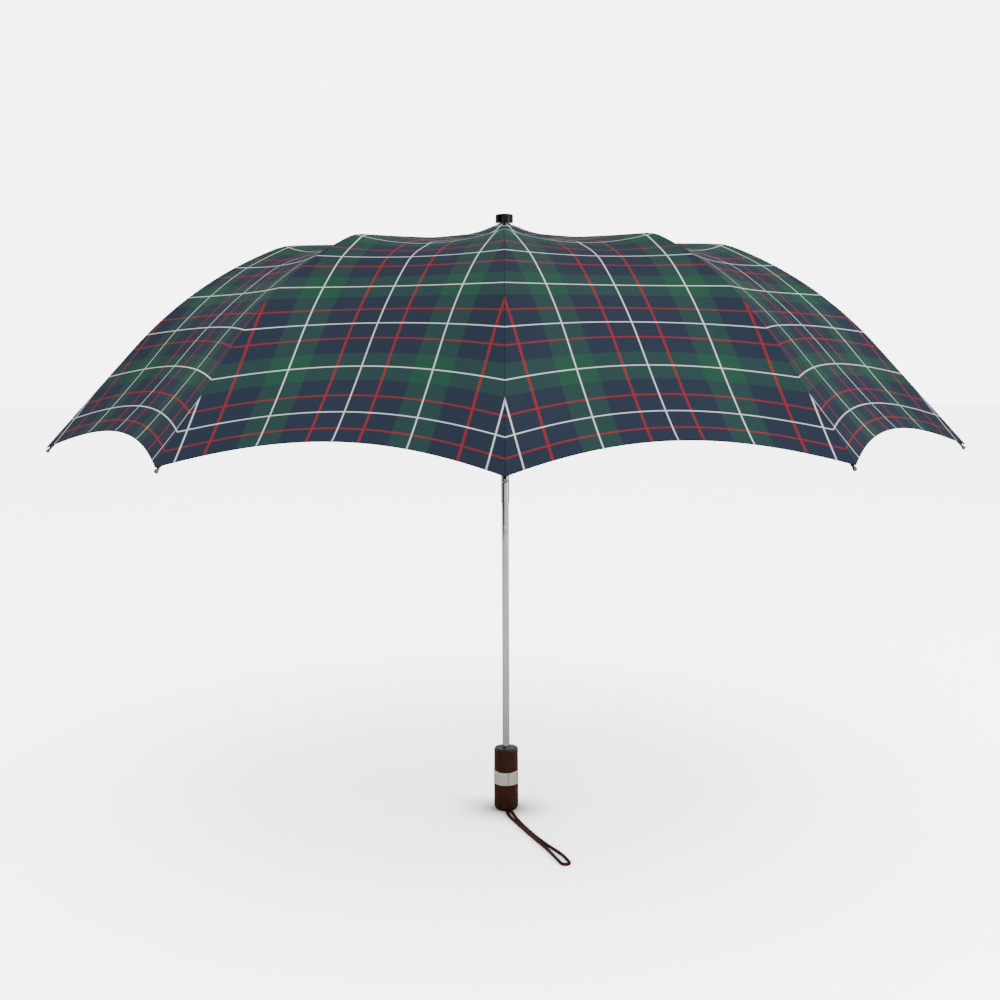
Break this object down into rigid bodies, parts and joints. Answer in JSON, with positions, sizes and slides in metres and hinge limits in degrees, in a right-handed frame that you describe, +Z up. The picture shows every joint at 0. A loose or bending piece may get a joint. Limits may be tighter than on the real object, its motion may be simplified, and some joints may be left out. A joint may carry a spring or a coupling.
{
  "type": "folding umbrella",
  "caption": "Compact telescopic umbrella, open: two-tube shaft, Z-folding ribs on a sliding runner, tartan canopy, leather-wrapped handle and a cord wrist strap.",
  "frame": {"origin": "centre of the handle's bottom face, on the surface under it", "axes": "+Z up the shaft towards the cap; -Y towards the first rib; ribs are numbered counter-clockwise seen from above"},
  "size_m": [0.85, 0.8936, 0.622],
  "materials": {
    "polished_steel": "polished",
    "nickel": "polished nickel",
    "gunmetal": "polished black nickel",
    "rib_alloy": "satin",
    "black_plastic": "semi-gloss",
    "brown_leather": "smooth dark brown",
    "strap_leather": "round red-brown cord",
    "tartan": "woven navy and green tartan"
  },
  "bodies": {
    "handle": {"handle_core": "black_plastic", "handle_end_cap": "black_plastic", "leather_lower": "brown_leather", "leather_upper": "brown_leather", "collar_band": "nickel", "handle_top_ring": "black_plastic", "strap_anchor": "nickel", "wrist_strap": "strap_leather", "lower_tube": "polished_steel"},
    "tube_catch": {"tube_catch": "nickel"},
    "upper_shaft": {"upper_tube": "polished_steel", "cap": "gunmetal", "cap_washer": "black_plastic", "top_notch": "black_plastic", "notch_wire": "nickel", "canopy": "tartan"},
    "runner": {"runner": "black_plastic", "runner_wire": "nickel"},
    "runner_button": {"runner_button": "black_plastic"},
    "top_rib_1": {"top_rib_1": "rib_alloy"},
    "mid_rib_1": {"mid_rib_1": "rib_alloy"},
    "outer_rib_1": {"outer_rib_1": "rib_alloy"},
    "stretcher_1": {"stretcher_1": "rib_alloy"},
    "top_rib_2": {"top_rib_2": "rib_alloy"},
    "mid_rib_2": {"mid_rib_2": "rib_alloy"},
    "outer_rib_2": {"outer_rib_2": "rib_alloy"},
    "stretcher_2": {"stretcher_2": "rib_alloy"},
    "top_rib_3": {"top_rib_3": "rib_alloy"},
    "mid_rib_3": {"mid_rib_3": "rib_alloy"},
    "outer_rib_3": {"outer_rib_3": "rib_alloy"},
    "stretcher_3": {"stretcher_3": "rib_alloy"},
    "top_rib_4": {"top_rib_4": "rib_alloy"},
    "mid_rib_4": {"mid_rib_4": "rib_alloy"},
    "outer_rib_4": {"outer_rib_4": "rib_alloy"},
    "stretcher_4": {"stretcher_4": "rib_alloy"},
    "top_rib_5": {"top_rib_5": "rib_alloy"},
    "mid_rib_5": {"mid_rib_5": "rib_alloy"},
    "outer_rib_5": {"outer_rib_5": "rib_alloy"},
    "stretcher_5": {"stretcher_5": "rib_alloy"},
    "top_rib_6": {"top_rib_6": "rib_alloy"},
    "mid_rib_6": {"mid_rib_6": "rib_alloy"},
    "outer_rib_6": {"outer_rib_6": "rib_alloy"},
    "stretcher_6": {"stretcher_6": "rib_alloy"},
    "top_rib_7": {"top_rib_7": "rib_alloy"},
    "mid_rib_7": {"mid_rib_7": "rib_alloy"},
    "outer_rib_7": {"outer_rib_7": "rib_alloy"},
    "stretcher_7": {"stretcher_7": "rib_alloy"},
    "top_rib_8": {"top_rib_8": "rib_alloy"},
    "mid_rib_8": {"mid_rib_8": "rib_alloy"},
    "outer_rib_8": {"outer_rib_8": "rib_alloy"},
    "stretcher_8": {"stretcher_8": "rib_alloy"},
    "top_rib_9": {"top_rib_9": "rib_alloy"},
    "mid_rib_9": {"mid_rib_9": "rib_alloy"},
    "outer_rib_9": {"outer_rib_9": "rib_alloy"},
    "stretcher_9": {"stretcher_9": "rib_alloy"},
    "top_rib_10": {"top_rib_10": "rib_alloy"},
    "mid_rib_10": {"mid_rib_10": "rib_alloy"},
    "outer_rib_10": {"outer_rib_10": "rib_alloy"},
    "stretcher_10": {"stretcher_10": "rib_alloy"}
  },
  "joints": [
    {"name": "tube_slide", "type": "slide", "parent": "handle", "child": "upper_shaft", "axis": [0, 0, -1], "range_m": [0, 0.224]},
    {"name": "runner_slide", "type": "slide", "parent": "upper_shaft", "child": "runner", "axis": [0, 0, -1], "range_m": [0, 0.15423], "deforming": ["canopy"]},
    {"name": "tube_catch_press", "type": "slide", "parent": "handle", "child": "tube_catch", "axis": [0, 1, 0], "range_m": [0, 0.0012], "stiffness_N_per_m": 1500},
    {"name": "runner_button_press", "type": "slide", "parent": "runner", "child": "runner_button", "axis": [0, 1, 0], "range_m": [0, 0.0012], "stiffness_N_per_m": 1500},
    {"name": "top_rib_pivot_1", "type": "hinge", "parent": "upper_shaft", "child": "top_rib_1", "pos_m": [0, -0.008, 0.6], "axis": [1, 0, 0], "range_deg": [-1, 82.34]},
    {"name": "mid_rib_pivot_1", "type": "hinge", "parent": "top_rib_1", "child": "mid_rib_1", "pos_m": [0, -0.115, 0.5875], "axis": [1, 0, 0], "range_deg": [-173.02, 1]},
    {"name": "outer_rib_pivot_1", "type": "hinge", "parent": "mid_rib_1", "child": "outer_rib_1", "pos_m": [0, -0.2209, 0.583], "axis": [1, 0, 0], "range_deg": [-1, 139.71]},
    {"name": "stretcher_pivot_1", "type": "hinge", "parent": "runner", "child": "stretcher_1", "pos_m": [0, -0.009, 0.524], "axis": [1, 0, 0], "range_deg": [-53.3, 1]},
    {"name": "top_rib_pivot_2", "type": "hinge", "parent": "upper_shaft", "child": "top_rib_2", "pos_m": [0.0047, -0.00647, 0.6], "axis": [0.809, 0.5878, 0], "range_deg": [-1, 82.34]},
    {"name": "mid_rib_pivot_2", "type": "hinge", "parent": "top_rib_2", "child": "mid_rib_2", "pos_m": [0.0676, -0.09304, 0.5875], "axis": [0.809, 0.5878, 0], "range_deg": [-173.02, 1]},
    {"name": "outer_rib_pivot_2", "type": "hinge", "parent": "mid_rib_2", "child": "outer_rib_2", "pos_m": [0.12984, -0.17871, 0.583], "axis": [0.809, 0.5878, 0], "range_deg": [-1, 139.71]},
    {"name": "stretcher_pivot_2", "type": "hinge", "parent": "runner", "child": "stretcher_2", "pos_m": [0.00529, -0.00728, 0.524], "axis": [0.809, 0.5878, 0], "range_deg": [-53.3, 1]},
    {"name": "top_rib_pivot_3", "type": "hinge", "parent": "upper_shaft", "child": "top_rib_3", "pos_m": [0.00761, -0.00247, 0.6], "axis": [0.309, 0.9511, 0], "range_deg": [-1, 82.34]},
    {"name": "mid_rib_pivot_3", "type": "hinge", "parent": "top_rib_3", "child": "mid_rib_3", "pos_m": [0.10937, -0.03554, 0.5875], "axis": [0.309, 0.9511, 0], "range_deg": [-173.02, 1]},
    {"name": "outer_rib_pivot_3", "type": "hinge", "parent": "mid_rib_3", "child": "outer_rib_3", "pos_m": [0.21009, -0.06826, 0.583], "axis": [0.309, 0.9511, 0], "range_deg": [-1, 139.71]},
    {"name": "stretcher_pivot_3", "type": "hinge", "parent": "runner", "child": "stretcher_3", "pos_m": [0.00856, -0.00278, 0.524], "axis": [0.309, 0.9511, 0], "range_deg": [-53.3, 1]},
    {"name": "top_rib_pivot_4", "type": "hinge", "parent": "upper_shaft", "child": "top_rib_4", "pos_m": [0.00761, 0.00247, 0.6], "axis": [-0.309, 0.9511, 0], "range_deg": [-1, 82.34]},
    {"name": "mid_rib_pivot_4", "type": "hinge", "parent": "top_rib_4", "child": "mid_rib_4", "pos_m": [0.10937, 0.03554, 0.5875], "axis": [-0.309, 0.9511, 0], "range_deg": [-173.02, 1]},
    {"name": "outer_rib_pivot_4", "type": "hinge", "parent": "mid_rib_4", "child": "outer_rib_4", "pos_m": [0.21009, 0.06826, 0.583], "axis": [-0.309, 0.9511, 0], "range_deg": [-1, 139.71]},
    {"name": "stretcher_pivot_4", "type": "hinge", "parent": "runner", "child": "stretcher_4", "pos_m": [0.00856, 0.00278, 0.524], "axis": [-0.309, 0.9511, 0], "range_deg": [-53.3, 1]},
    {"name": "top_rib_pivot_5", "type": "hinge", "parent": "upper_shaft", "child": "top_rib_5", "pos_m": [0.0047, 0.00647, 0.6], "axis": [-0.809, 0.5878, 0], "range_deg": [-1, 82.34]},
    {"name": "mid_rib_pivot_5", "type": "hinge", "parent": "top_rib_5", "child": "mid_rib_5", "pos_m": [0.0676, 0.09304, 0.5875], "axis": [-0.809, 0.5878, 0], "range_deg": [-173.02, 1]},
    {"name": "outer_rib_pivot_5", "type": "hinge", "parent": "mid_rib_5", "child": "outer_rib_5", "pos_m": [0.12984, 0.17871, 0.583], "axis": [-0.809, 0.5878, 0], "range_deg": [-1, 139.71]},
    {"name": "stretcher_pivot_5", "type": "hinge", "parent": "runner", "child": "stretcher_5", "pos_m": [0.00529, 0.00728, 0.524], "axis": [-0.809, 0.5878, 0], "range_deg": [-53.3, 1]},
    {"name": "top_rib_pivot_6", "type": "hinge", "parent": "upper_shaft", "child": "top_rib_6", "pos_m": [0, 0.008, 0.6], "axis": [-1, 0, 0], "range_deg": [-1, 82.34]},
    {"name": "mid_rib_pivot_6", "type": "hinge", "parent": "top_rib_6", "child": "mid_rib_6", "pos_m": [0, 0.115, 0.5875], "axis": [-1, 0, 0], "range_deg": [-173.02, 1]},
    {"name": "outer_rib_pivot_6", "type": "hinge", "parent": "mid_rib_6", "child": "outer_rib_6", "pos_m": [0, 0.2209, 0.583], "axis": [-1, 0, 0], "range_deg": [-1, 139.71]},
    {"name": "stretcher_pivot_6", "type": "hinge", "parent": "runner", "child": "stretcher_6", "pos_m": [0, 0.009, 0.524], "axis": [-1, 0, 0], "range_deg": [-53.3, 1]},
    {"name": "top_rib_pivot_7", "type": "hinge", "parent": "upper_shaft", "child": "top_rib_7", "pos_m": [-0.0047, 0.00647, 0.6], "axis": [-0.809, -0.5878, 0], "range_deg": [-1, 82.34]},
    {"name": "mid_rib_pivot_7", "type": "hinge", "parent": "top_rib_7", "child": "mid_rib_7", "pos_m": [-0.0676, 0.09304, 0.5875], "axis": [-0.809, -0.5878, 0], "range_deg": [-173.02, 1]},
    {"name": "outer_rib_pivot_7", "type": "hinge", "parent": "mid_rib_7", "child": "outer_rib_7", "pos_m": [-0.12984, 0.17871, 0.583], "axis": [-0.809, -0.5878, 0], "range_deg": [-1, 139.71]},
    {"name": "stretcher_pivot_7", "type": "hinge", "parent": "runner", "child": "stretcher_7", "pos_m": [-0.00529, 0.00728, 0.524], "axis": [-0.809, -0.5878, 0], "range_deg": [-53.3, 1]},
    {"name": "top_rib_pivot_8", "type": "hinge", "parent": "upper_shaft", "child": "top_rib_8", "pos_m": [-0.00761, 0.00247, 0.6], "axis": [-0.309, -0.9511, 0], "range_deg": [-1, 82.34]},
    {"name": "mid_rib_pivot_8", "type": "hinge", "parent": "top_rib_8", "child": "mid_rib_8", "pos_m": [-0.10937, 0.03554, 0.5875], "axis": [-0.309, -0.9511, 0], "range_deg": [-173.02, 1]},
    {"name": "outer_rib_pivot_8", "type": "hinge", "parent": "mid_rib_8", "child": "outer_rib_8", "pos_m": [-0.21009, 0.06826, 0.583], "axis": [-0.309, -0.9511, 0], "range_deg": [-1, 139.71]},
    {"name": "stretcher_pivot_8", "type": "hinge", "parent": "runner", "child": "stretcher_8", "pos_m": [-0.00856, 0.00278, 0.524], "axis": [-0.309, -0.9511, 0], "range_deg": [-53.3, 1]},
    {"name": "top_rib_pivot_9", "type": "hinge", "parent": "upper_shaft", "child": "top_rib_9", "pos_m": [-0.00761, -0.00247, 0.6], "axis": [0.309, -0.9511, 0], "range_deg": [-1, 82.34]},
    {"name": "mid_rib_pivot_9", "type": "hinge", "parent": "top_rib_9", "child": "mid_rib_9", "pos_m": [-0.10937, -0.03554, 0.5875], "axis": [0.309, -0.9511, 0], "range_deg": [-173.02, 1]},
    {"name": "outer_rib_pivot_9", "type": "hinge", "parent": "mid_rib_9", "child": "outer_rib_9", "pos_m": [-0.21009, -0.06826, 0.583], "axis": [0.309, -0.9511, 0], "range_deg": [-1, 139.71]},
    {"name": "stretcher_pivot_9", "type": "hinge", "parent": "runner", "child": "stretcher_9", "pos_m": [-0.00856, -0.00278, 0.524], "axis": [0.309, -0.9511, 0], "range_deg": [-53.3, 1]},
    {"name": "top_rib_pivot_10", "type": "hinge", "parent": "upper_shaft", "child": "top_rib_10", "pos_m": [-0.0047, -0.00647, 0.6], "axis": [0.809, -0.5878, 0], "range_deg": [-1, 82.34]},
    {"name": "mid_rib_pivot_10", "type": "hinge", "parent": "top_rib_10", "child": "mid_rib_10", "pos_m": [-0.0676, -0.09304, 0.5875], "axis": [0.809, -0.5878, 0], "range_deg": [-173.02, 1]},
    {"name": "outer_rib_pivot_10", "type": "hinge", "parent": "mid_rib_10", "child": "outer_rib_10", "pos_m": [-0.12984, -0.17871, 0.583], "axis": [0.809, -0.5878, 0], "range_deg": [-1, 139.71]},
    {"name": "stretcher_pivot_10", "type": "hinge", "parent": "runner", "child": "stretcher_10", "pos_m": [-0.00529, -0.00728, 0.524], "axis": [0.809, -0.5878, 0], "range_deg": [-53.3, 1]}
  ],
  "couplings": [
    {"joint": "top_rib_pivot_1", "follows": "runner_slide", "rad_per_m": 9.2044},
    {"joint": "mid_rib_pivot_1", "follows": "runner_slide", "rad_per_m": -19.466},
    {"joint": "outer_rib_pivot_1", "follows": "runner_slide", "rad_per_m": 15.697},
    {"joint": "stretcher_pivot_1", "follows": "runner_slide", "rad_per_m": -5.9179},
    {"joint": "top_rib_pivot_2", "follows": "runner_slide", "rad_per_m": 9.2044},
    {"joint": "mid_rib_pivot_2", "follows": "runner_slide", "rad_per_m": -19.466},
    {"joint": "outer_rib_pivot_2", "follows": "runner_slide", "rad_per_m": 15.697},
    {"joint": "stretcher_pivot_2", "follows": "runner_slide", "rad_per_m": -5.9179},
    {"joint": "top_rib_pivot_3", "follows": "runner_slide", "rad_per_m": 9.2044},
    {"joint": "mid_rib_pivot_3", "follows": "runner_slide", "rad_per_m": -19.466},
    {"joint": "outer_rib_pivot_3", "follows": "runner_slide", "rad_per_m": 15.697},
    {"joint": "stretcher_pivot_3", "follows": "runner_slide", "rad_per_m": -5.9179},
    {"joint": "top_rib_pivot_4", "follows": "runner_slide", "rad_per_m": 9.2044},
    {"joint": "mid_rib_pivot_4", "follows": "runner_slide", "rad_per_m": -19.466},
    {"joint": "outer_rib_pivot_4", "follows": "runner_slide", "rad_per_m": 15.697},
    {"joint": "stretcher_pivot_4", "follows": "runner_slide", "rad_per_m": -5.9179},
    {"joint": "top_rib_pivot_5", "follows": "runner_slide", "rad_per_m": 9.2044},
    {"joint": "mid_rib_pivot_5", "follows": "runner_slide", "rad_per_m": -19.466},
    {"joint": "outer_rib_pivot_5", "follows": "runner_slide", "rad_per_m": 15.697},
    {"joint": "stretcher_pivot_5", "follows": "runner_slide", "rad_per_m": -5.9179},
    {"joint": "top_rib_pivot_6", "follows": "runner_slide", "rad_per_m": 9.2044},
    {"joint": "mid_rib_pivot_6", "follows": "runner_slide", "rad_per_m": -19.466},
    {"joint": "outer_rib_pivot_6", "follows": "runner_slide", "rad_per_m": 15.697},
    {"joint": "stretcher_pivot_6", "follows": "runner_slide", "rad_per_m": -5.9179},
    {"joint": "top_rib_pivot_7", "follows": "runner_slide", "rad_per_m": 9.2044},
    {"joint": "mid_rib_pivot_7", "follows": "runner_slide", "rad_per_m": -19.466},
    {"joint": "outer_rib_pivot_7", "follows": "runner_slide", "rad_per_m": 15.697},
    {"joint": "stretcher_pivot_7", "follows": "runner_slide", "rad_per_m": -5.9179},
    {"joint": "top_rib_pivot_8", "follows": "runner_slide", "rad_per_m": 9.2044},
    {"joint": "mid_rib_pivot_8", "follows": "runner_slide", "rad_per_m": -19.466},
    {"joint": "outer_rib_pivot_8", "follows": "runner_slide", "rad_per_m": 15.697},
    {"joint": "stretcher_pivot_8", "follows": "runner_slide", "rad_per_m": -5.9179},
    {"joint": "top_rib_pivot_9", "follows": "runner_slide", "rad_per_m": 9.2044},
    {"joint": "mid_rib_pivot_9", "follows": "runner_slide", "rad_per_m": -19.466},
    {"joint": "outer_rib_pivot_9", "follows": "runner_slide", "rad_per_m": 15.697},
    {"joint": "stretcher_pivot_9", "follows": "runner_slide", "rad_per_m": -5.9179},
    {"joint": "top_rib_pivot_10", "follows": "runner_slide", "rad_per_m": 9.2044},
    {"joint": "mid_rib_pivot_10", "follows": "runner_slide", "rad_per_m": -19.466},
    {"joint": "outer_rib_pivot_10", "follows": "runner_slide", "rad_per_m": 15.697},
    {"joint": "stretcher_pivot_10", "follows": "runner_slide", "rad_per_m": -5.9179}
  ]
}
